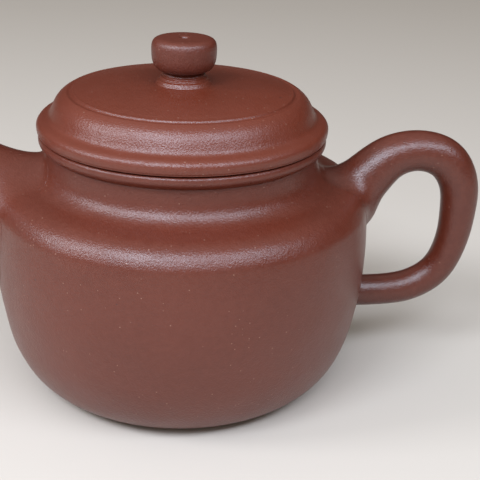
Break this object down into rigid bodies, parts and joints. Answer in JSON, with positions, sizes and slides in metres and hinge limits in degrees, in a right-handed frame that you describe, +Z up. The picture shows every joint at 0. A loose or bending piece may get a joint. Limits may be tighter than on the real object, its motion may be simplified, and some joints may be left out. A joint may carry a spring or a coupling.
{
  "type": "clay teapot",
  "caption": "Squat round unglazed clay teapot: stepped lid that lifts off by a drum knob, short neck, flat shoulder, ear handle, curved spout with a ball strainer inside.",
  "frame": {"origin": "the point on the table under the middle of the pot, on the pot's turning axis", "axes": "+Z up along the pot's axis; +X towards the handle, -X towards the spout; Y is across the pot"},
  "size_m": [0.1541, 0.096, 0.0892],
  "materials": {
    "clay_body": "unglazed red-brown stoneware, satin from burnishing, fine light grain",
    "clay_lid": "the same clay, burnished a little more",
    "clay_inside": "the same clay, left matte inside the pot"
  },
  "bodies": {
    "pot": {"base_disc": "clay_body", "body_wall": "clay_body", "shoulder_disc": "clay_body", "neck_collar": "clay_body", "mouth_ring": "clay_body", "spout": "clay_body", "strainer": "clay_inside", "handle": "clay_body"},
    "lid": {"lid_rim_plate": "clay_lid", "lid_dome": "clay_lid", "lid_flange": "clay_lid", "knob_collar": "clay_lid", "knob": "clay_lid"}
  },
  "joints": [
    {"name": "lid_lift", "type": "slide", "parent": "pot", "child": "lid", "axis": [0, 0, 1], "range_m": [0, 0.06]}
  ]
}
